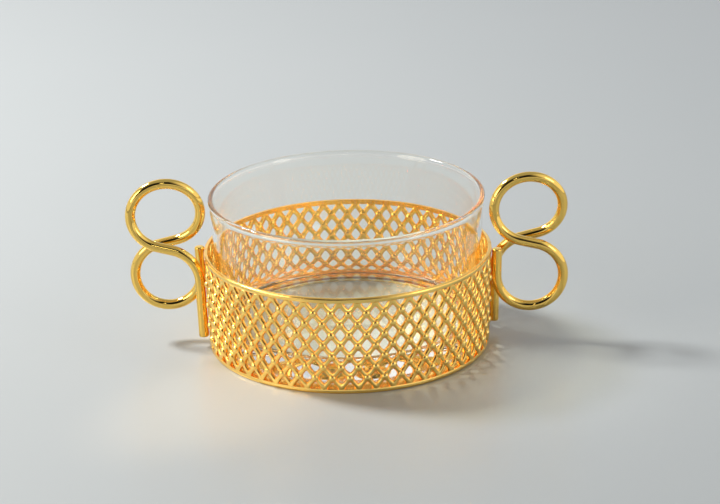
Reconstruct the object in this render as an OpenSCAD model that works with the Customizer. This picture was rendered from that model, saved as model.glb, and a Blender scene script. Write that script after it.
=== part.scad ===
// Low two-handled tea glass holder: a pierced hoop in two halves, a figure-eight wire handle at each
// side, a flat ring that the glass stands on, and the clear glass cup. Millimetres, +Z up.
// The origin is on the table at the middle of the hoop, and the handles lie along X.

/* [Glass cup] */
// Outer diameter at the lip
lip_d = 91; // [86:0.5:100]
// Outer diameter just above the heel
foot_d = 86.5; // [80:0.5:88]
// Height from the underside to the lip
cup_h = 50.3; // [46:0.1:62]
// Wall thickness
cup_wall = 1.4; // [1:0.1:1.5]
// Thickness of the rounded bead along the lip
lip_bead = 1.7; // [1.6:0.1:2.4]
// Thickness of the solid base at the wall
cup_base = 7.5; // [4:0.5:10]
// Outside radius of the heel
heel_r = 2.2; // [1:0.1:3]
// Inside radius between the floor and the wall
floor_fillet = 4; // [2:0.5:6]
// Height that the middle of the underside is pushed up
punt_h = 0.8; // [0.4:0.1:1.5]
// Width of the flat that the underside stands on
stand_w = 5; // [4:0.5:7]

/* [Pierced hoop] */
// Height of the hoop
hoop_h = 32.7; // [28:0.1:38]
// Thickness of the pierced sheet
sheet_t = 0.8; // [0.6:0.1:1.4]
// Gap between the cup and the hoop at the foot
foot_gap = 2.3; // [1.6:0.1:4]
// Gap between the cup and the hoop at the top of the hoop
top_gap = 2.4; // [1.6:0.1:4]
// Height of the plain border along each edge
border_h = 1.6; // [0.8:0.1:2.2]
// How far the borders and the plain ends stand proud of the sheet
border_proud = 0.2; // [0.1:0.05:0.5]
// Width of the metal between two openings
rib_w = 1.9; // [1:0.1:2.4]
// Rows of openings, one above the other
net_rows = 7; // [5:1:10]
// Openings along the longer rows of one half
net_columns = 24; // [20:1:32]
// Plain end of each half, measured round the hoop from the joint
end_w = 6; // [5:0.2:8]
// Gap between the two halves at each joint
joint_gap = 0.3; // [0.1:0.05:0.6]

/* [Handles] */
// Diameter of the wire
wire_d = 3.4; // [2.6:0.1:3.8]
// Radius of the lower bend at the middle of the wire
lower_bend_r = 11; // [9.5:0.1:12]
// Half the height of the upper bend at the middle of the wire
upper_bend_r = 10.6; // [9.5:0.1:12]
// How much further the upper bend reaches sideways than up
upper_stretch = 0.8; // [0:0.1:1.2]
// Height of the middle of the lower bend
lower_bend_z = 22.8; // [20:0.1:24]
// Slope in degrees at which the wire crosses between the bends
cross_slope = 14.5; // [8:0.5:18]
// Gap between the cup's lip and the upper bend
lip_gap = 1.2; // [0.8:0.1:2]
// Distance of the leg and of the tail from the joint of the halves
strand_y = 4.2; // [3.8:0.1:5]
// Height of the leg's foot above the table
leg_foot_z = 4; // [2:0.5:8]
// How far the tail stops below the top of the hoop
tail_drop = 1; // [0.6:0.1:4]

/* [Seat ring] */
// Thickness of the ring
ring_t = 1; // [0.6:0.1:1.5]
// How far the ring reaches in under the flat that the cup stands on
ring_reach = 1.6; // [1:0.1:3]

/* [Hidden] */
gold = "#e0b04a";
clear_glass = [0.86, 0.92, 0.93, 0.35];
// Film of filler metal left open between the ring and the hoop, and between the wires and the hoop
braze_gap = 0.05;
wire_gap = 0.3;
// How far a cut runs past what it cuts
overrun = 1;
round_fn = 128;

// Cup
lip_r = lip_d / 2;
foot_r = foot_d / 2;
cup_z = ring_t;
lip_z = cup_z + cup_h;
floor_z = cup_z + cup_base;
bead_r = lip_bead / 2;
// The wall runs into the bead this many degrees below the bead's middle
join_angle = acos(cup_wall / lip_bead);
join_z = lip_z - bead_r - bead_r * sin(join_angle);
join_r = lip_r - (lip_bead - cup_wall) / 2;
// The wall leans out slowly at first and faster near the lip
flare_power = 2.2;
wall_steps = 12;
fillet_steps = 6;
bead_steps = 10;
function cup_r(z) = foot_r + (join_r - foot_r) * pow(max(z - cup_z, 0) / (join_z - cup_z), flare_power);

// Hoop
hoop_in_r = foot_r + foot_gap;
hoop_flare = cup_r(hoop_h) + top_gap - hoop_in_r;
function sheet_in_r(z) = hoop_in_r + hoop_flare * z / hoop_h;
function sheet_out_r(z) = sheet_in_r(z) + sheet_t;
// The cuts of the net run from inside the narrower edge to outside the wider one
cut_in_r = min(sheet_in_r(0), sheet_in_r(hoop_h)) - overrun;
cut_depth = abs(hoop_flare) + sheet_t + 2 * overrun;
row_pitch = (hoop_h - 2 * border_h) / (net_rows + 1);
mid_r = sheet_out_r(hoop_h / 2);
end_angle = end_w / mid_r * 180 / PI;
gap_angle = joint_gap / 2 / mid_r * 180 / PI;
column_angle = (180 - 2 * end_angle) / net_columns;
// Half the width and height of a full cell of the net, and how far it is from its middle to its edge
cell_x = mid_r * column_angle / 2 * PI / 180;
cell_z = row_pitch;
cell_edge = cell_x * cell_z / sqrt(cell_x * cell_x + cell_z * cell_z);
opening_share = 1 - rib_w / 2 / cell_edge;
// Share of a half opening's height that its sill stands above the border
sill_share = 0.15;

// Handle, in its own plane: u runs outwards from the leg, v is the height
wire_r = wire_d / 2;
wire_sides = 12;
bend_step = 9.5;
upper_r_u = upper_bend_r + upper_stretch;
// How far out the middle of a strand lies that is brazed to the hoop at height z
function seat_x(z) = sqrt(pow(sheet_out_r(z) + border_proud + wire_r + wire_gap, 2) - strand_y * strand_y);
plane_x = seat_x(lower_bend_z);
lower_c = [lower_bend_r, lower_bend_z];
upper_c = [lip_r + lip_gap + wire_r + upper_r_u - plane_x,
           lower_bend_z + (lower_bend_r + upper_bend_r) / cos(cross_slope)];
tail_z = hoop_h - tail_drop;
// Direction of the line through both middles, and the slope of the crossing strands against its normal
lean = atan2(upper_c[0] - lower_c[0], upper_c[1] - lower_c[1]);
cross_angle = acos((lower_bend_r + upper_bend_r) / norm(upper_c - lower_c));

module glass_cup() {
  heel_c = [foot_r - heel_r, cup_z + heel_r];
  fillet_c = [cup_r(floor_z + floor_fillet) - cup_wall - floor_fillet, floor_z + floor_fillet];
  bead_c = [join_r - cup_wall / 2, lip_z - bead_r];
  heel = [for (i = [0:fillet_steps]) let (a = -90 + 90 * i / fillet_steps)
          heel_c + heel_r * [cos(a), sin(a)]];
  outside = [for (i = [1:wall_steps])
             let (z = heel_c[1] + (join_z - heel_c[1]) * i / wall_steps) [cup_r(z), z]];
  bead = [for (i = [1:bead_steps - 1]) let (a = -join_angle + (180 + 2 * join_angle) * i / bead_steps)
          bead_c + bead_r * [cos(a), sin(a)]];
  inside = [for (i = [wall_steps:-1:1])
            let (z = fillet_c[1] + (join_z - fillet_c[1]) * i / wall_steps)
            [cup_r(z) - cup_wall, z]];
  fillet = [for (i = [0:fillet_steps]) let (a = -90 * i / fillet_steps)
            fillet_c + floor_fillet * [cos(a), sin(a)]];
  underside = [[0, cup_z + punt_h], [heel_c[0] - stand_w, cup_z]];
  color(clear_glass)
    rotate_extrude($fn = round_fn)
      polygon(concat(underside, heel, outside, bead, inside, fillet, [[0, floor_z]]));
}

// Section of the leaning hoop, as thick as its proud borders
module hoop_section() {
  polygon([
    [sheet_in_r(0), 0], [sheet_out_r(0) + border_proud, 0],
    [sheet_out_r(hoop_h) + border_proud, hoop_h], [sheet_in_r(hoop_h), hoop_h]
  ]);
}

// Section of the shallow recess between the borders
module recess_section() {
  top_z = hoop_h - border_h;
  polygon([
    [sheet_out_r(border_h), border_h], [sheet_out_r(border_h) + overrun, border_h],
    [sheet_out_r(top_z) + overrun, top_z], [sheet_out_r(top_z), top_z]
  ]);
}

// A lozenge of the net, or only its upper or lower half above a sill, cut straight through the sheet along X
module opening(up, down) {
  x = cell_x * opening_share;
  z = cell_z * opening_share;
  sill = up && down ? 0 : sill_share * z;
  side_x = x * (1 - sill / z);
  side_z = up ? sill : -sill;
  rotate([90, 0, 90])
    linear_extrude(cut_depth)
      polygon(concat([[side_x, side_z]], up ? [[0, z]] : [], [[-side_x, side_z]], down ? [[0, -z]] : []));
}

// The staggered net of one half: every other row is half a cell further round and one opening shorter,
// and the first and last rows are half openings that stand on the borders
module net() {
  for (row = [-1:net_rows])
    for (column = [0:net_columns - 1 - abs(row) % 2])
      rotate([0, 0, end_angle + (column + 0.5 + abs(row) % 2 / 2) * column_angle])
        translate([cut_in_r, 0, border_h + (row + 1) * row_pitch])
          opening(row < net_rows, row >= 0);
}

// Half of the hoop, from the joint at +X round over +Y to the joint at -X
module half_band() {
  color(gold)
    difference() {
      rotate([0, 0, gap_angle])
        rotate_extrude(angle = 180 - 2 * gap_angle, $fn = round_fn)
          hoop_section();
      rotate([0, 0, end_angle])
        rotate_extrude(angle = 180 - 2 * end_angle, $fn = round_fn)
          recess_section();
      net();
    }
}

module back_band() {
  half_band();
}

module front_band() {
  rotate([0, 0, 180])
    half_band();
}

// Points of an arc in the handle's plane, both ends included
function arc(c, r_u, r_v, from, to) =
  let (n = ceil(abs(to - from) / bend_step))
  [for (i = [0:n]) let (a = from + (to - from) * i / n) c + [r_u * cos(a), r_v * sin(a)]];

// The wire: up the hoop, over the lower bend's top, once round the upper bend, back over the lower
// bend's top, round its outside and bottom, and up the hoop again
leg = [for (i = [0:3]) [0, leg_foot_z + (lower_bend_z - leg_foot_z) * i / 4]];
lower_in = arc(lower_c, lower_bend_r, lower_bend_r, 180, 90 + cross_angle - lean);
upper = arc(upper_c, upper_r_u, upper_bend_r, -90 + cross_angle - lean, 270 - cross_angle - lean);
lower_out = arc(lower_c, lower_bend_r, lower_bend_r, 90 - cross_angle - lean, -180);
tail = [for (i = [1:3]) [0, lower_bend_z + (tail_z - lower_bend_z) * i / 3]];
flat_path = concat(leg, lower_in, upper, lower_out, tail);
// The wire shifts sideways at a steady rate from the leg's top to the second crossing
shift_start = len(leg);
shift_end = shift_start + len(lower_in) + len(upper);
function side_y(i) =
  strand_y * (1 - 2 * min(max((i - shift_start) / (shift_end - shift_start), 0), 1));
// On the hoop the strands follow its lean, and beyond it the bends stand in a plane
function wire_point(i) =
  let (p = flat_path[i], on_hoop = i < shift_start || i >= len(flat_path) - len(tail))
  [p[0] + (on_hoop ? seat_x(p[1]) : plane_x), side_y(i), p[1]];
wire_path = [for (i = [0:len(flat_path) - 1]) wire_point(i)];

function unit(v) = v / norm(v);
// One ring of the wire's surface round point p, square to direction t
function wire_ring(p, t, r) =
  let (side = unit(cross([0, 1, 0], t)), other = cross(t, side))
  [for (k = [0:wire_sides - 1]) let (a = 360 * k / wire_sides) p + r * (cos(a) * side + sin(a) * other)];

// A wire with softly broken edges at both ends, swept along wire_path
module bent_wire() {
  last = len(wire_path) - 1;
  tangents = [for (i = [0:last]) unit(wire_path[min(i + 1, last)] - wire_path[max(i - 1, 0)])];
  edge_share = 0.3;
  edge = edge_share * wire_r;
  rings = concat(
    [wire_ring(wire_path[0] - edge * tangents[0], tangents[0], wire_r - edge)],
    [for (i = [0:last]) wire_ring(wire_path[i], tangents[i], wire_r)],
    [wire_ring(wire_path[last] + edge * tangents[last], tangents[last], wire_r - edge)]);
  n = wire_sides;
  sides = [for (j = [0:len(rings) - 2]) for (k = [0:n - 1])
           let (a = j * n + k, b = j * n + (k + 1) % n) each [[a, a + n, b], [b, a + n, b + n]]];
  first_end = [for (k = [1:n - 2]) [0, k, k + 1]];
  top = (len(rings) - 1) * n;
  last_end = [for (k = [1:n - 2]) [top, top + k + 1, top + k]];
  color(gold)
    polyhedron([for (ring = rings) each ring], concat(sides, first_end, last_end));
}

module right_handle() {
  bent_wire();
}

module left_handle() {
  rotate([0, 0, 180])
    bent_wire();
}

module seat_ring() {
  outer_r = hoop_in_r - braze_gap;
  inner_r = foot_r - heel_r - ring_reach;
  color(gold)
    rotate_extrude($fn = round_fn)
      polygon([[inner_r, 0], [outer_r, 0], [outer_r, ring_t], [inner_r, ring_t]]);
}

glass_cup();
front_band();
back_band();
left_handle();
right_handle();
seat_ring();
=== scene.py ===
"""Looks of a low two-handled tea glass holder with its glass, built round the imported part.

Metres, +Z up, the part's own frame. The two pierced halves of the hoop, the two bent wires, the seat ring
and the blown glass are surfaces worked out from the same sizes as the solids that they stand for.
"""

import bpy
import numpy as np
from mathutils import Matrix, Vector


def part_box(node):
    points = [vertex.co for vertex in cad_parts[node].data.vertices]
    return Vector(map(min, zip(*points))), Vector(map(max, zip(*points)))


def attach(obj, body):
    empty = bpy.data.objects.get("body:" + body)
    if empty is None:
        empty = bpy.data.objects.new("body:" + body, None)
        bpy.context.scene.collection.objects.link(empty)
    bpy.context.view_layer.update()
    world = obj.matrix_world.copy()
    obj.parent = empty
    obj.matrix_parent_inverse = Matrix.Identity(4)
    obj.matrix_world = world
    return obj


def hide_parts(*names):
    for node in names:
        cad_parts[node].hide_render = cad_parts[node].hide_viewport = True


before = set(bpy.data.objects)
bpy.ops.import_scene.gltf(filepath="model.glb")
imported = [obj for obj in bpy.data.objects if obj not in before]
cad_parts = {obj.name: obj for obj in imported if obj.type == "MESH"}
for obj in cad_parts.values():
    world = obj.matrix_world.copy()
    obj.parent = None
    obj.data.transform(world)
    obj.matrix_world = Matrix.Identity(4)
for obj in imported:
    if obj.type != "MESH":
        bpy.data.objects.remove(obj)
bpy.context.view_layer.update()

MM = 0.001

# Sizes that the frame gives
cup_low, cup_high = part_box("glass_cup")
_, band_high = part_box("back_band")
_, ring_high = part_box("seat_ring")
wire_low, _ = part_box("right_handle")
cup_z = cup_low.z
lip_z = cup_high.z
lip_r = cup_high.x
hoop_h = band_high.z
ring_t = ring_high.z
ring_out_r = ring_high.x
leg_foot_z = wire_low.z

# Glass cup
foot_r = 43.25 * MM
cup_wall = 1.4 * MM
lip_bead = 1.7 * MM
cup_base = 7.5 * MM
heel_r = 2.2 * MM
floor_fillet = 4 * MM
punt_h = 0.8 * MM
stand_w = 5 * MM
flare_power = 2.2
cup_sides = 192

# Pierced hoop
braze_gap = 0.05 * MM
hoop_in_r = ring_out_r + braze_gap
sheet_t = 0.8 * MM
top_gap = 2.4 * MM
border_h = 1.6 * MM
border_proud = 0.2 * MM
border_crown = 0.25 * MM
rib_w = 1.9 * MM
net_rows = 7
net_columns = 24
end_w = 6 * MM
joint_gap = 0.3 * MM
edge_break = 0.12 * MM

# Relief of the net over the sheet's face: ribs are half-round on top, and beads sit on their crossings
rib_rise = 0.45 * MM
rib_drop = 0.2 * MM
inner_rise = 0.35 * MM
soft_power = 1.2
around_deg = (0, 24, 66, 90)
rib_deg = (0, 30, 60, 90)
pearl_r = 1.25 * MM
pearl_rise = 0.75 * MM
pearl_deg = (0, 35, 65, 95, 140, 180)
pearl_sides = 8
inner_share = 0.6

# Handles
wire_r = 1.7 * MM
wire_gap = 0.3 * MM
lower_bend_r = 11 * MM
upper_bend_r = 10.6 * MM
upper_stretch = 0.8 * MM
lower_bend_z = 22.8 * MM
cross_slope = np.radians(14.5)
lip_gap = 1.2 * MM
strand_y = 4.2 * MM
tail_drop = 1 * MM
end_round = 0.35
wire_step = np.radians(3)
wire_sides = 24

# Seat ring
ring_reach = 1.6 * MM
ring_sides = 160

# Finishes: how wide the patches and ripples of each are, how deep its ripples go, and where a noise mostly lies
buff_haze_w = 6 * MM
gilt_ripple_h = 0.025 * MM
glass_swell_w = 14 * MM
glass_swell_h = 0.02 * MM
lacquer_cloud_w = 180 * MM
noise_low, noise_high = 0.35, 0.65

# Points closer than the weld are one point, and a hair, in metres or radians, is slack for rounding
weld = 0.002 * MM
hair = MM / 1000

# Table top: rings of points, each this many times wider than the last
table_first_r = 150 * MM
table_growth = 1.35
table_rings = 13
table_sides = 64

# Light of the room on dull surfaces, where 1 is the light that metal, glass and the camera see, and the heights
# of a direction between which the room changes from its horizon to its ceiling
room_fill = 0.33
horizon_z, ceiling_z = 0.1, 0.8
light_turns = 64

# Soft patches of the room: direction, inner and outer angle in degrees, colour
room_patches = [
    ((-0.28, -0.8, 0.6), 21, 29, "#1d1e20"),
    ((0.28, -0.8, 0.6), 21, 29, "#1d1e20"),
    ((0.0, -1.0, -0.1), 3, 14, "#6c6f72"),
    ((-0.5, 0.83, 0.25), 14, 40, "#ffffff"),
    ((0.9, -0.2, 0.35), 20, 55, "#ffffff"),
]


def srgb(code):
    """Linear colour of an sRGB hex code: each part over 12.92 if dark, else (part + 0.055) / 1.055 to 2.4."""
    part = np.array([int(code[i:i + 2], 16) for i in (1, 3, 5)]) / 255
    linear = np.where(part <= 0.04045, part / 12.92, ((part + 0.055) / 1.055) ** 2.4)
    return (*linear.tolist(), 1.0)


def node(tree, kind, inputs=None, **settings):
    """Adds a node. Settings go on the node itself, and inputs are values or sockets by socket name or number."""
    made = tree.nodes.new(kind)
    for name, value in settings.items():
        setattr(made, name, value)
    for name, value in (inputs or {}).items():
        if isinstance(value, bpy.types.NodeSocket):
            tree.links.new(value, made.inputs[name])
        else:
            made.inputs[name].default_value = value
    return made


def material(name):
    """An empty node material, its tree, its output node and the object's own coordinates."""
    made = bpy.data.materials.new(name)
    made.use_nodes = True
    tree = made.node_tree
    tree.nodes.clear()
    out = node(tree, "ShaderNodeOutputMaterial")
    return made, tree, out, node(tree, "ShaderNodeTexCoord").outputs["Object"]


def gilt(name, high_code, shaded_code, ripple_w, shine):
    """Gold plate on brass, buffed bright. The eye gets a warm mirror whose reflections swim a little, because the
    buffed metal is never quite even. Its tone is painted deeper and more orange where the plate lies in a hollow of
    the relief: painted shade, and painted inter-reflection of the gold lighting itself there, weighed by each
    point's share of hollow. shine is the roughness of the clearest and of the haziest patches."""
    made, tree, out, place = material(name)
    # Painted shade: each point's share of hollow mixes the tone from the first colour toward the deeper, more
    # orange second one, in place of the shade and the gold's own bounced light in the relief.
    shade_share = node(tree, "ShaderNodeAttribute", attribute_name="recess").outputs["Fac"]
    haze = node(tree, "ShaderNodeTexNoise", {"Vector": place, "Scale": 1 / buff_haze_w, "Detail": 3.0})
    tone = node(tree, "ShaderNodeMix", {0: shade_share, 6: srgb(high_code), 7: srgb(shaded_code)}, data_type="RGBA")
    rough = node(tree, "ShaderNodeMapRange", {"Value": haze.outputs["Fac"], "From Min": noise_low,
                                              "From Max": noise_high, "To Min": shine[0], "To Max": shine[1]})
    ripple = node(tree, "ShaderNodeTexNoise", {"Vector": place, "Scale": 1 / ripple_w, "Detail": 2.0})
    bump = node(tree, "ShaderNodeBump", {"Height": ripple.outputs["Fac"], "Distance": gilt_ripple_h,
                                         "Strength": 1.0})
    metal = node(tree, "ShaderNodeBsdfPrincipled", {"Base Color": tone.outputs[2], "Metallic": 1.0,
                                                    "Roughness": rough.outputs["Result"],
                                                    "Normal": bump.outputs["Normal"]})
    tree.links.new(metal.outputs["BSDF"], out.inputs["Surface"])
    return made


def clear_glass():
    """Heat-proof borosilicate glass, blown and fire-polished. The eye gets a thin clear wall that swells a little,
    a bright lip, and a thick base that bends what stands behind it. Lamps shine through it, so that it throws the
    pale shadow that thin glass throws."""
    made, tree, out, place = material("blown_clear_glass")
    swell = node(tree, "ShaderNodeTexNoise", {"Vector": place, "Scale": 1 / glass_swell_w, "Detail": 1.0})
    bump = node(tree, "ShaderNodeBump", {"Height": swell.outputs["Fac"], "Distance": glass_swell_h,
                                         "Strength": 1.0})
    glass = node(tree, "ShaderNodeBsdfPrincipled", {"Base Color": srgb("#fdfdf9"), "Roughness": 0.0,
                                                    "Transmission Weight": 1.0, "IOR": 1.46,
                                                    "Normal": bump.outputs["Normal"]})
    passing = node(tree, "ShaderNodeBsdfTransparent", {"Color": srgb("#e3e1d8")})
    path = node(tree, "ShaderNodeLightPath")
    both = node(tree, "ShaderNodeMixShader", {0: path.outputs["Is Shadow Ray"], 1: glass.outputs["BSDF"],
                                              2: passing.outputs["BSDF"]})
    tree.links.new(both.outputs["Shader"], out.inputs["Surface"])
    return made


def table_top():
    """Fibreboard with a pale grey satin lacquer, sprayed. The eye gets a soft sheen and no grain that shows."""
    made, tree, out, place = material("pale_satin_table")
    cloud = node(tree, "ShaderNodeTexNoise", {"Vector": place, "Scale": 1 / lacquer_cloud_w, "Detail": 2.0})
    tone = node(tree, "ShaderNodeMix", {0: cloud.outputs["Fac"], 6: srgb("#b8bfc3"), 7: srgb("#bdc3c7")},
                data_type="RGBA")
    top = node(tree, "ShaderNodeBsdfPrincipled", {"Base Color": tone.outputs[2], "Roughness": 0.32,
                                                  "Specular IOR Level": 0.8})
    tree.links.new(top.outputs["BSDF"], out.inputs["Surface"])
    return made


def stand(name, data, place=None):
    """A new object in the scene: a mesh at the origin, or a camera or lamp at the matrix place."""
    made = bpy.data.objects.new(name, data)
    if place is not None:
        made.matrix_world = Matrix(place.tolist())
    bpy.context.scene.collection.objects.link(made)
    return made


def full_turn(sides):
    """Angles of one turn, the last one short of the first."""
    return np.linspace(0, 2 * np.pi, sides, endpoint=False)


def grid_faces(rows, columns, closed, copies=1):
    """Corner numbers of the quads of a grid of points, row by row, repeated for each copy of the grid. Each quad
    goes (row, column), (row, column + 1), (row + 1, column + 1), (row + 1, column)."""
    wide = columns if closed else columns - 1
    r, c = np.meshgrid(np.arange(rows - 1), np.arange(wide), indexing="ij")
    after = (c + 1) % columns
    quads = np.stack([r * columns + c, r * columns + after, (r + 1) * columns + after, (r + 1) * columns + c], -1)
    steps = np.arange(copies) * rows * columns
    return (quads.reshape(1, -1, 4) + steps[:, None, None]).reshape(-1, 4)


def surface(name, points, faces, body, node_name, finish, recess=0.0, crease_deg=40):
    """One mesh from point and face arrays, its doubles merged and flat quads closed to triangles, riding on its
    body in the place of its solid. The last argument, from 0 to 1 a point, says how deep in a hollow the point
    lies; it is kept on the points, and the gilt paints shade in the hollows by it."""
    _, first, number = np.unique(np.round(points / weld), axis=0, return_index=True, return_inverse=True)
    clean = []
    for face in number.ravel()[faces].tolist():
        corners = [v for i, v in enumerate(face) if v != face[i - 1]]
        if len(corners) > 2 and len(set(corners)) == len(corners):
            clean.append(corners)
    mesh = bpy.data.meshes.new(name)
    mesh.from_pydata(points[first].tolist(), [], clean)
    # Each point's share of painted shade, kept for the gilt to read.
    shade_share = mesh.attributes.new("recess", "FLOAT", "POINT")
    shade_share.data.foreach_set("value", np.broadcast_to(recess, len(points))[first])
    mesh.polygons.foreach_set("use_smooth", [True] * len(mesh.polygons))
    mesh.set_sharp_from_angle(angle=np.radians(crease_deg))
    mesh.materials.append(finish)
    made = stand(name, mesh)
    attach(made, body)
    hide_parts(node_name)


def turned(profile, sides):
    """Points and faces of a profile of (radius, height) turned once round Z, faces outwards where the profile
    goes anticlockwise: (radius cos a, radius sin a, height)."""
    a = full_turn(sides)
    radius, height = profile[:, :1], profile[:, 1:]
    points = np.stack([radius * np.cos(a), radius * np.sin(a), height + 0 * a], -1)
    return points.reshape(-1, 3), grid_faces(len(profile), sides, True)


def arc(middle, radius, from_deg, to_deg, steps):
    """Points (radius, height) on a circle's arc, both ends included: middle + radius (cos a, sin a)."""
    a = np.radians(np.linspace(from_deg, to_deg, steps + 1))
    return np.array(middle) + radius * np.stack([np.cos(a), np.sin(a)], -1)


# Where the cup's outer wall runs into the bead of its lip
bead_r = lip_bead / 2
join_rad = np.arccos(cup_wall / lip_bead)
join_z = lip_z - bead_r - bead_r * np.sin(join_rad)
join_r = lip_r - (lip_bead - cup_wall) / 2


def cup_r(z):
    """Outer radius of the cup: the foot's, plus the lean to the lip's bead times (height share) to flare_power."""
    return foot_r + (join_r - foot_r) * (np.maximum(z - cup_z, 0) / (join_z - cup_z)) ** flare_power


def blown_glass(finish):
    """The cup's profile turned: pushed-up underside, heel, flaring wall, lip's bead, inner wall, fillet, floor.
    The underside rises by (1 - share squared) squared, with share the radius over the standing ring's."""
    punt_rows, wall_rows, inner_rows, floor_rows = 12, 36, 34, 10
    floor_z = cup_z + cup_base
    heel_c = (foot_r - heel_r, cup_z + heel_r)
    fillet_c = (cup_r(floor_z + floor_fillet) - cup_wall - floor_fillet, floor_z + floor_fillet)
    share = np.linspace(0, 1, punt_rows)
    punt = np.stack([(heel_c[0] - stand_w) * share, cup_z + punt_h * (1 - share ** 2) ** 2], -1)
    heel = arc(heel_c, heel_r, -90, 0, steps=10)
    up = np.linspace(heel_c[1], join_z, wall_rows)
    wall = np.stack([cup_r(up), up], -1)
    below = np.degrees(join_rad)
    lip = arc((join_r - cup_wall / 2, lip_z - bead_r), bead_r, -below, 180 + below, steps=22)
    down = np.linspace(join_z, fillet_c[1], inner_rows)
    inside = np.stack([cup_r(down) - cup_wall, down], -1)
    fillet = arc(fillet_c, floor_fillet, 0, -90, steps=12)
    across = np.linspace(fillet_c[0], 0, floor_rows)
    bottom = np.stack([across, floor_z + 0 * across], -1)
    points, faces = turned(np.vstack([punt, heel, wall, lip, inside, fillet, bottom]), cup_sides)
    surface("glass_cup_blown", points, faces, "glass", "glass_cup", finish, crease_deg=60)


def flat_seat(finish):
    """The seat ring's section, a flat bar with broken edges, turned round Z."""
    inner_r = foot_r - heel_r - ring_reach
    b = edge_break
    profile = np.array([
        (inner_r + b, 0), (ring_out_r - b, 0), (ring_out_r, b), (ring_out_r, ring_t - b),
        (ring_out_r - b, ring_t), (inner_r + b, ring_t), (inner_r, ring_t - b), (inner_r, b), (inner_r + b, 0)])
    points, faces = turned(profile, ring_sides)
    surface("seat_ring_flat", points, faces, "holder", "seat_ring", finish)


hoop_flare = cup_r(hoop_h) + top_gap - hoop_in_r


def sheet_out_r(z):
    """Outer radius of the leaning sheet at height z: radius at the foot plus the flare's share plus the sheet."""
    return hoop_in_r + hoop_flare * z / hoop_h + sheet_t


# Layout of the net: each row of lozenge cells overlaps the next by half a cell and is shifted by half a column
row_pitch = (hoop_h - 2 * border_h) / (net_rows + 1)
mid_r = sheet_out_r(hoop_h / 2)
end_angle = end_w / mid_r
gap_angle = joint_gap / 2 / mid_r
column_angle = (np.pi - 2 * end_angle) / net_columns
cell_x = mid_r * column_angle / 2
cell_edge = cell_x * row_pitch / np.hypot(cell_x, row_pitch)
opening_share = 1 - rib_w / 2 / cell_edge

# A rib's section, from its crest to the opening's edge: a quarter round outside and a lower one inside
rib_a = np.radians(rib_deg)
rib_shares = 1 - (1 - opening_share) * np.sin(rib_a)
rib_powers = 1 + (soft_power - 1) * np.sin(rib_a)
rib_heights = (rib_rise + rib_drop) * np.cos(rib_a) - rib_drop
inner_heights = -sheet_t - inner_rise * np.cos(rib_a)


def row_z(row):
    """Height of the middles of a row of cells."""
    return border_h + (row + 1) * row_pitch


def lozenge_rows(turn, shares, powers):
    """Rows of points round a cell's middle, in half cells: share (cos, sin) over its norm of the given power. A
    power of 1 is the sharp lozenge of the cell's edge, and a higher one softens its corners."""
    c, s = np.cos(turn), np.sin(turn)
    share, power = np.array(shares)[:, None], np.array(powers)[:, None]
    size = (np.abs(c) ** power + np.abs(s) ** power) ** (1 / power)
    return share * c / size, share * s / size


def on_sheet(angle, z, lift, closed):
    """Points (angle, z, height off the face) and faces of copies of a grid. The three arrays are spread over one
    another as (copy, row, column)."""
    points = np.stack(np.broadcast_arrays(angle, z, lift), -1)
    copies, rows, columns = points.shape[:3]
    return points.reshape(-1, 3), grid_faces(rows, columns, closed, copies)


def cells(angles, heights, from_quarter, to_quarter, rows):
    """Copies of one cell's rows at many places on the sheet. The cell spans the quarters from from_quarter to
    to_quarter, and four quarters close it."""
    shares, powers, lifts = rows
    whole = to_quarter - from_quarter == 4
    turn = np.radians([90 * q + a for q in range(from_quarter, to_quarter) for a in around_deg[:-1]])
    if not whole:
        turn = np.append(turn, np.radians(90 * to_quarter))
    x, z = lozenge_rows(turn, shares, powers)
    return on_sheet(np.reshape(angles, (-1, 1, 1)) + x * column_angle / 2,
                    np.reshape(heights, (-1, 1, 1)) + z * row_pitch, lifts[:, None], whole)


def sills(angles, z, facing):
    """The flat sill of each half opening along a border: a quad through the sheet, from the middle to both tips.
    facing is 1 where the opening lies above its border, else -1."""
    x = np.array([-opening_share, 0, opening_share]) * column_angle / 2 * facing
    return on_sheet(angles[:, None, None] + x, z, np.array([[-rib_drop], [-sheet_t]]), False)


def net():
    """All cells of one half. Each opening has half-round ribs outside, the wall through the sheet, and lower
    rounded ribs inside. Half openings stand on the borders, and the cut cells at the two ends are blind."""
    open_rows = (np.append(rib_shares, rib_shares[::-1]), np.append(rib_powers, rib_powers[::-1]),
                 np.append(rib_heights, inner_heights[::-1]))
    blind_out = np.append(rib_shares, 0), np.append(rib_powers, 1), np.append(rib_heights, -rib_drop)
    blind_in = (np.append(0, rib_shares[::-1]), np.append(1, rib_powers[::-1]),
                np.append(-sheet_t, inner_heights[::-1]))
    near, far = end_angle, np.pi - end_angle
    low_z, high_z = border_h, hoop_h - border_h
    parts = []
    for row in range(net_rows):
        columns = np.arange(net_columns - row % 2)
        parts.append(cells(near + (columns + 0.5 + row % 2 / 2) * column_angle, row_z(row), 0, 4, open_rows))
    between = near + np.arange(1, net_columns) * column_angle
    parts += [cells(between, low_z, 0, 2, open_rows), cells(between, high_z, 2, 4, open_rows),
              sills(between, low_z, 1), sills(between, high_z, -1)]
    odd_z = row_z(np.arange(1, net_rows - 1, 2))
    cut = [(near, odd_z, -1, 1), (far, odd_z, 1, 3), (near, low_z, 0, 1), (far, low_z, 1, 2),
           (far, high_z, 2, 3), (near, high_z, 3, 4)]
    for angle, heights, first, last in cut:
        parts += [cells(angle, heights, first, last, rows) for rows in (blind_out, blind_in)]
    return parts


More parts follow.
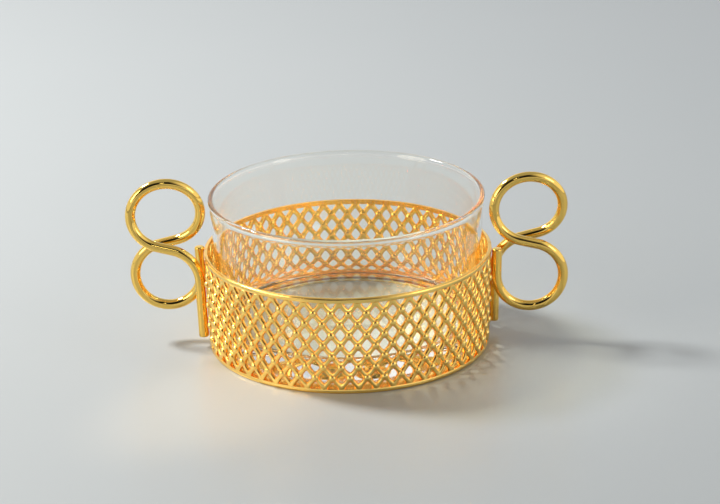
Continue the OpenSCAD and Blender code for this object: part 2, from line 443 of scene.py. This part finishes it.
def along_frame(middles, half):
    """Places of the net's points along one side of the frame, and how high each stands: each cut cell has its
    middle, and its rib's rows at their shares of half a cell to both sides. Neighbours share their rib's crest."""
    offsets = np.append(0, rib_shares[::-1])
    lifts = np.append(-rib_drop, rib_heights[::-1])
    places = (middles[:, None] + np.append(-offsets[:0:-1], offsets) * half).ravel()
    heights = np.tile(np.append(lifts[:0:-1], lifts), len(middles))
    keep = (places > middles[0] - hair) & (places < middles[-1] + hair)
    places, heights = places[keep], heights[keep]
    _, index = np.unique(np.round(places / hair), return_index=True)
    return places[index], heights[index]


def frame_round_net():
    """The plain frame of one half: a grid of angles and heights with the net's part left out, on the outer and
    the inner face, closed along its four edges. It stands proud of the sheet, its borders are crowned by
    1 - (2 share - 1) squared, and it steps down to the net."""
    a_net, a_lift = along_frame(end_angle + np.arange(net_columns + 1) * column_angle, column_angle / 2)
    z_net, z_lift = along_frame(border_h + np.arange(0, net_rows + 2, 2) * row_pitch, row_pitch)
    end_columns, border_rows = 6, 5
    b, step = edge_break, edge_break / mid_r
    ends = np.concatenate([[gap_angle, gap_angle + step], np.linspace(gap_angle, end_angle, end_columns)[1:-1],
                           [end_angle - step]])
    low = np.append(0, np.linspace(b, border_h - b, border_rows))
    a, z = np.meshgrid(np.concatenate([ends, a_net, np.pi - ends[::-1]]),
                       np.concatenate([low, z_net, hoop_h - low[::-1]]))
    share = np.minimum(z, hoop_h - z) / border_h
    lift = border_proud + border_crown * np.clip(1 - (2 * share - 1) ** 2, 0, 1)
    back = np.full(a.shape, -sheet_t)
    first_a, last_a = len(ends), len(ends) + len(a_net) - 1
    first_z, last_z = len(low), len(low) + len(z_net) - 1
    along, up = np.s_[[first_z, last_z], first_a:last_a + 1], np.s_[first_z:last_z + 1, [first_a, last_a]]
    for side, rise in ((along, a_lift), (up, z_lift[:, None])):
        lift[side] = rise
        back[side] = np.interp(rise, (-rib_drop, rib_rise), (-sheet_t, -sheet_t - inner_rise))
    for edge in (np.s_[0, :], np.s_[-1, :], np.s_[:, 0], np.s_[:, -1]):
        lift[edge] = border_proud - b
    rows, columns = a.shape
    faces = grid_faces(rows, columns, False)
    r, c = faces[:, 0] // columns, faces[:, 0] % columns
    faces = faces[(r < first_z) | (r >= last_z) | (c < first_a) | (c >= last_a)]
    rim = np.concatenate([np.arange(columns), columns - 1 + columns * np.arange(1, rows),
                          rows * columns - 2 - np.arange(columns - 1), columns * np.arange(rows - 2, 0, -1)])
    after = np.roll(rim, -1)
    wall = np.stack([after, rim, rim + rows * columns, after + rows * columns], -1)
    points = np.concatenate([np.stack([a, z, off], -1).reshape(-1, 3) for off in (lift, back)])
    return points, np.concatenate([faces, faces[:, ::-1] + rows * columns, wall])


def pearls():
    """A small dome on every crossing of the ribs, outside and lower inside, flattened where it meets the ribs:
    (r sin p cos t, r sin p sin t, rise cos p)."""
    polar = np.radians(pearl_deg)[:, None]
    turn = full_turn(pearl_sides)
    x, z = pearl_r * np.sin(polar) * np.cos(turn), pearl_r * np.sin(polar) * np.sin(turn)
    bulge = pearl_rise * np.cos(polar)
    parts = []
    for row in range(net_rows):
        columns = np.arange(1 - row % 2, net_columns) + row % 2 / 2
        angles = (end_angle + columns * column_angle)[:, None, None]
        for side, lift in ((-1, rib_rise + bulge), (1, -sheet_t - inner_rise - bulge * inner_share)):
            parts.append(on_sheet(angles + side * x / mid_r, row_z(row) + z, lift, True))
    return parts


def pierced_half(name, node_name, sign, finish):
    """Half of the hoop: net, frame and pearls bent round the axis, (r cos a, r sin a, z) with r the sheet's outer
    radius plus the height off its face. sign is 1 for the back one and -1, half a turn, for the front one."""
    parts = [*net(), frame_round_net(), *pearls()]
    starts = np.cumsum([0] + [len(points) for points, _ in parts[:-1]])
    angle, z, lift = np.concatenate([points for points, _ in parts]).T
    faces = np.concatenate([faces + start for (_, faces), start in zip(parts, starts)])
    r = sign * (sheet_out_r(z) + lift)
    points = np.stack([r * np.cos(angle), r * np.sin(angle), z], -1)
    # Share of painted shade. It is highest midway between the ribs' outer crest and the inner face, in the walls
    # through the sheet. It falls to nothing at the crest, on the pearls and at the inner face.
    recess = np.clip(1 - np.abs(2 * lift - rib_rise + sheet_t) / (rib_rise + sheet_t), 0, 1)
    surface(name, points, faces, "holder", node_name, finish, recess)


def seat_x(z):
    """How far out a strand's middle lies where it is brazed to the hoop at height z."""
    out = sheet_out_r(z) + border_proud + wire_r + wire_gap
    return np.sqrt(out ** 2 - strand_y ** 2)


def bend(middle, r_u, r_v, start, end):
    """Points (u, v) on an oval bend, without the first: middle + (r_u cos a, r_v sin a)."""
    a = np.linspace(start, end, int(abs(end - start) / wire_step) + 1)[1:]
    return np.stack([middle[0] + r_u * np.cos(a), middle[1] + r_v * np.sin(a)], -1)


def wire_line():
    """Middle line of one handle's wire: leg, lower bend, upper bend, lower bend again, tail. u runs out from the
    hoop and v up, and the wire shifts sideways at a steady rate between its two passes over the lower bend."""
    leg_rows, tail_rows, ease = 24, 12, 9
    plane_x = seat_x(lower_bend_z)
    upper_u = upper_bend_r + upper_stretch
    both = lower_bend_r + upper_bend_r
    lower_c = np.array([lower_bend_r, lower_bend_z])
    upper_c = np.array([lip_r + lip_gap + wire_r + upper_u - plane_x, lower_bend_z + both / np.cos(cross_slope)])
    away = upper_c - lower_c
    lean = np.arctan2(away[0], away[1])
    cross = np.arccos(both / np.hypot(*away))
    quarter = np.pi / 2
    up = np.linspace(leg_foot_z + wire_r * end_round, lower_bend_z, leg_rows)
    leg = np.stack([0 * up, up], -1)
    in_bend = bend(lower_c, lower_bend_r, lower_bend_r, 2 * quarter, quarter + cross - lean)
    high_bend = bend(upper_c, upper_u, upper_bend_r, -quarter + cross - lean, 3 * quarter - cross - lean)
    out_bend = bend(lower_c, lower_bend_r, lower_bend_r, quarter - cross - lean, -2 * quarter)
    tail_up = np.linspace(lower_bend_z, hoop_h - tail_drop, tail_rows)[1:]
    tail = np.stack([0 * tail_up, tail_up], -1)
    u, v = np.concatenate([leg, in_bend, high_bend, out_bend, tail]).T
    number = np.arange(len(u))
    side = strand_y * (1 - 2 * np.clip((number - len(leg)) / (len(in_bend) + len(high_bend)), 0, 1))
    side = np.convolve(np.pad(side, ease // 2, mode="edge"), np.full(ease, 1 / ease), mode="valid")
    on_hoop = (number < len(leg)) | (number >= len(u) - len(tail))
    return np.stack([u + np.where(on_hoop, seat_x(v), plane_x), side, v], -1)


def bent_wire(name, node_name, sign, finish):
    """A round wire carried along its middle line: line + r (cos k side + sin k other), square to the line, with
    its ends rounded over a short quarter circle. sign is 1 for the right one and -1, half a turn, for the left."""
    end_rows = 6
    line = wire_line()
    way = np.gradient(line, axis=0)
    way /= np.linalg.norm(way, axis=1, keepdims=True)
    a = np.radians(np.linspace(0, 90, end_rows))
    reach, shrink = wire_r * end_round * np.sin(a), wire_r * (1 - end_round * (1 - np.cos(a)))
    first = line[0] - reach[::-1, None] * way[0]
    last = line[-1] + reach[:, None] * way[-1]
    radius = np.concatenate([[0], shrink[::-1], np.full(len(line) - 2, wire_r), shrink, [0]])
    way = np.concatenate([np.repeat(way[:1], len(first) + 1, 0), way[1:-1], np.repeat(way[-1:], len(last) + 1, 0)])
    line = np.concatenate([first[:1], first, line[1:-1], last, last[-1:]])
    side = np.cross([0, 1, 0], way)
    side /= np.linalg.norm(side, axis=1, keepdims=True)
    other = np.cross(way, side)
    k = full_turn(wire_sides)[:, None]
    ring = np.cos(k) * side[:, None] + np.sin(k) * other[:, None]
    points = (line[:, None] + radius[:, None, None] * ring).reshape(-1, 3) * (sign, sign, 1)
    faces = grid_faces(len(line), wire_sides, True)
    surface(name, points, faces, "holder", node_name, finish, crease_deg=60)


def looking(side, up, back, spot):
    """The matrix of a camera or lamp at spot, with side to its right and up above it, that looks away from back."""
    turn = np.eye(4)
    turn[:3] = np.stack([side, up, back, spot], -1)
    return turn


def place_camera():
    """The photograph's view: a long lens from in front and above, with the picture turned a little."""
    image_w, focal_px, sensor_w = 720, 2441, 36
    distance = 819 * MM
    aim_right, aim_up = 4.09 * MM, 28.54 * MM
    above, roll = np.radians(20.65), np.radians(-1.34)
    back = np.array([0, -np.cos(above), np.sin(above)])
    right = np.array([1, 0, 0])
    up = np.array([0, np.sin(above), np.cos(above)])
    data = bpy.data.cameras.new("photo_view")
    data.sensor_width = sensor_w
    data.lens = focal_px / image_w * sensor_w
    data.clip_start, data.clip_end = 0.01, 20
    place = looking(np.cos(roll) * right + np.sin(roll) * up, np.cos(roll) * up - np.sin(roll) * right, back,
                    aim_right * right + aim_up * up + distance * back)
    bpy.context.scene.camera = stand("photo_view", data, place)


def lay_table(finish):
    """A round table top, rings of points at growing radii round the object."""
    radius = np.append(0, table_first_r * table_growth ** np.arange(table_rings))
    points, faces = turned(np.stack([radius, 0 * radius], -1), table_sides)
    mesh = bpy.data.meshes.new("table_top")
    mesh.from_pydata(points.tolist(), [], faces[:, ::-1].tolist())
    mesh.materials.append(finish)
    stand("table_top", mesh)


def lamp(name, kind, toward, code, distance, watts, target=(0, 0, 0), **settings):
    """A lamp that stands off from its target in the direction toward and shines back at it."""
    data = bpy.data.lights.new(name, kind)
    data.energy = watts
    data.color = srgb(code)[:3]
    for setting, value in settings.items():
        setattr(data, setting, value)
    back = np.array(toward) / np.linalg.norm(toward)
    side = np.cross([0, 0, 1], back)
    side /= np.linalg.norm(side)
    stand(name, data, looking(side, np.cross(back, side), back, back * distance + target))


def hang_lamps():
    """A round soft box from the left and behind, a warm fill from the left and a weak one from the right, a small
    spark in front, and a warm spot on the table: the light that the polished band throws down in front of it."""
    lamp("window_box", "AREA", (-0.582, 0.309, 0.752), "#fffdf8", distance=1.0, watts=9.6, shape="DISK", size=0.19)
    lamp("warm_fill", "AREA", (-0.8, -0.42, 0.5), "#fff0d8", distance=0.9, watts=2.0, shape="DISK", size=0.4)
    lamp("side_fill", "AREA", (0.75, -0.42, 0.5), "#fff6e8", distance=0.9, watts=0.7, shape="DISK", size=0.25)
    lamp("warm_glint", "SPOT", (-0.5, -0.6, 0.6), "#ffd9a0", distance=0.5, watts=4.4,
         target=(-40 * MM, -48 * MM, 0), spot_size=np.radians(9), spot_blend=1.0, shadow_soft_size=0.01)
    lamp("front_spark", "AREA", (0.0, -0.8, 0.6), "#fffff0", distance=0.9, watts=0.07, shape="DISK", size=0.07)


def patch(tree, way, toward, inner_deg, outer_deg):
    """How far a direction lies inside a soft round patch of the room: 1 within inner_deg of its middle, 0 past
    outer_deg, by the cosine of the angle between them."""
    middle = np.array(toward) / np.linalg.norm(toward)
    near = node(tree, "ShaderNodeVectorMath", {0: way, 1: middle.tolist()}, operation="DOT_PRODUCT")
    outer, inner = np.cos(np.radians([outer_deg, inner_deg])).tolist()
    share = node(tree, "ShaderNodeMapRange", {"Value": near.outputs["Value"], "From Min": outer, "From Max": inner,
                                              "To Min": 0.0, "To Max": 1.0}, interpolation_type="SMOOTHSTEP")
    return share.outputs["Result"]


def light_room():
    """A pale room, softer overhead, with two dark patches in front that draw dark lines along the wires, a grey
    one low in front, and bright ones behind on the left and on the right. Dull surfaces get less of it."""
    world = bpy.data.worlds.new("pale_room")
    world.use_nodes = True
    tree = world.node_tree
    tree.nodes.clear()
    way = node(tree, "ShaderNodeTexCoord").outputs["Generated"]
    parts = node(tree, "ShaderNodeSeparateXYZ", {"Vector": way})
    height = node(tree, "ShaderNodeMapRange", {"Value": parts.outputs["Z"], "From Min": horizon_z,
                                               "From Max": ceiling_z, "To Min": 0.0, "To Max": 1.0},
                  interpolation_type="SMOOTHSTEP")
    tone = node(tree, "ShaderNodeMix", {0: height.outputs["Result"], 6: srgb("#eceff3"), 7: srgb("#a9adb2")},
                data_type="RGBA")
    for toward, inner_deg, outer_deg, code in room_patches:
        share = patch(tree, way, toward, inner_deg, outer_deg)
        tone = node(tree, "ShaderNodeMix", {0: share, 6: tone.outputs[2], 7: srgb(code)}, data_type="RGBA")
    path = node(tree, "ShaderNodeLightPath").outputs
    seen = path["Is Camera Ray"]
    for ray in ("Is Glossy Ray", "Is Transmission Ray"):
        seen = node(tree, "ShaderNodeMath", {0: seen, 1: path[ray]}, operation="MAXIMUM").outputs[0]
    strength = node(tree, "ShaderNodeMapRange", {"Value": seen, "To Min": room_fill, "To Max": 1.0})
    sky = node(tree, "ShaderNodeBackground", {"Color": tone.outputs[2], "Strength": strength.outputs["Result"]})
    out = node(tree, "ShaderNodeOutputWorld")
    tree.links.new(sky.outputs["Background"], out.inputs["Surface"])
    bpy.context.scene.world = world


def let_light_bounce():
    """Light gets enough turns to find its way out of the glass's thick base and of the pierced band."""
    cycles = bpy.context.scene.cycles
    cycles.max_bounces = cycles.glossy_bounces = cycles.transmission_bounces = light_turns


place_camera()
light_room()
hang_lamps()
let_light_bounce()
lay_table(table_top())
# The band's second colour, #fab952, is its painted shade in the hollows of the relief. The wire gets one colour
# twice, and so no painted shade.
band_gold = gilt("gilt_pierced_band", "#ffd87a", "#fab952", ripple_w=1.6 * MM, shine=(0.15, 0.24))
wire_gold = gilt("gilt_drawn_wire", "#fad06c", "#fad06c", ripple_w=5 * MM, shine=(0.05, 0.11))
blown_glass(clear_glass())
flat_seat(band_gold)
pierced_half("front_band_pierced", "front_band", -1, band_gold)
pierced_half("back_band_pierced", "back_band", 1, band_gold)
bent_wire("right_handle_wire", "right_handle", 1, wire_gold)
bent_wire("left_handle_wire", "left_handle", -1, wire_gold)

bpy.context.scene.view_settings.view_transform = "Standard"
